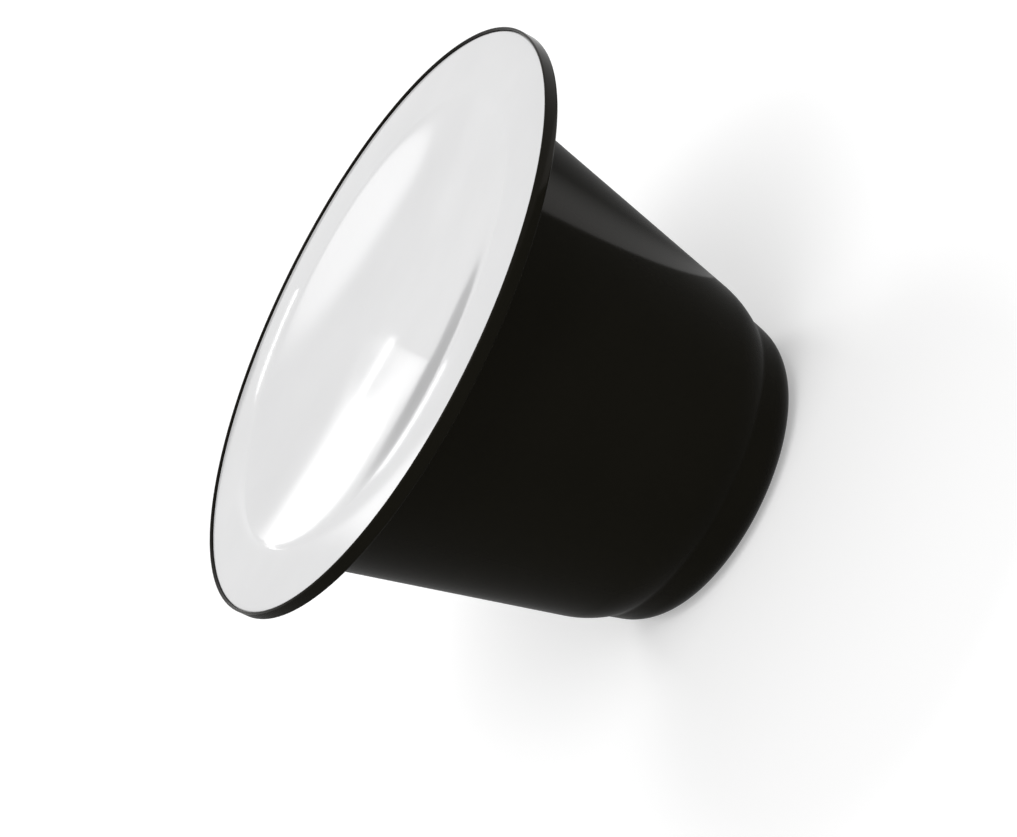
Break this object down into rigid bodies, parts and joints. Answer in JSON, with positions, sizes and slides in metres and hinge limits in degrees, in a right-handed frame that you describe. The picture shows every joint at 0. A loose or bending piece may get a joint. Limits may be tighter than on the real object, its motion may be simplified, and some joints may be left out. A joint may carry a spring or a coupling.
{
  "type": "coffee pod",
  "caption": "Sealed single-serve coffee pod: black tapered cup with a flanged mouth and stepped-in nose, closed by a dished white lid.",
  "frame": {"origin": "centre of the flat face of the nose, on which the pod stands", "axes": "+Z along the axis of revolution, from the nose up to the lid; X and Y are any two radial directions"},
  "size_m": [0.037, 0.037, 0.0239],
  "materials": {
    "cup_plastic": "glossy black moulded plastic",
    "lid_sheet": "glossy white sealing sheet"
  },
  "bodies": {
    "root": {"cup": "cup_plastic", "lid": "lid_sheet"}
  },
  "joints": []
}
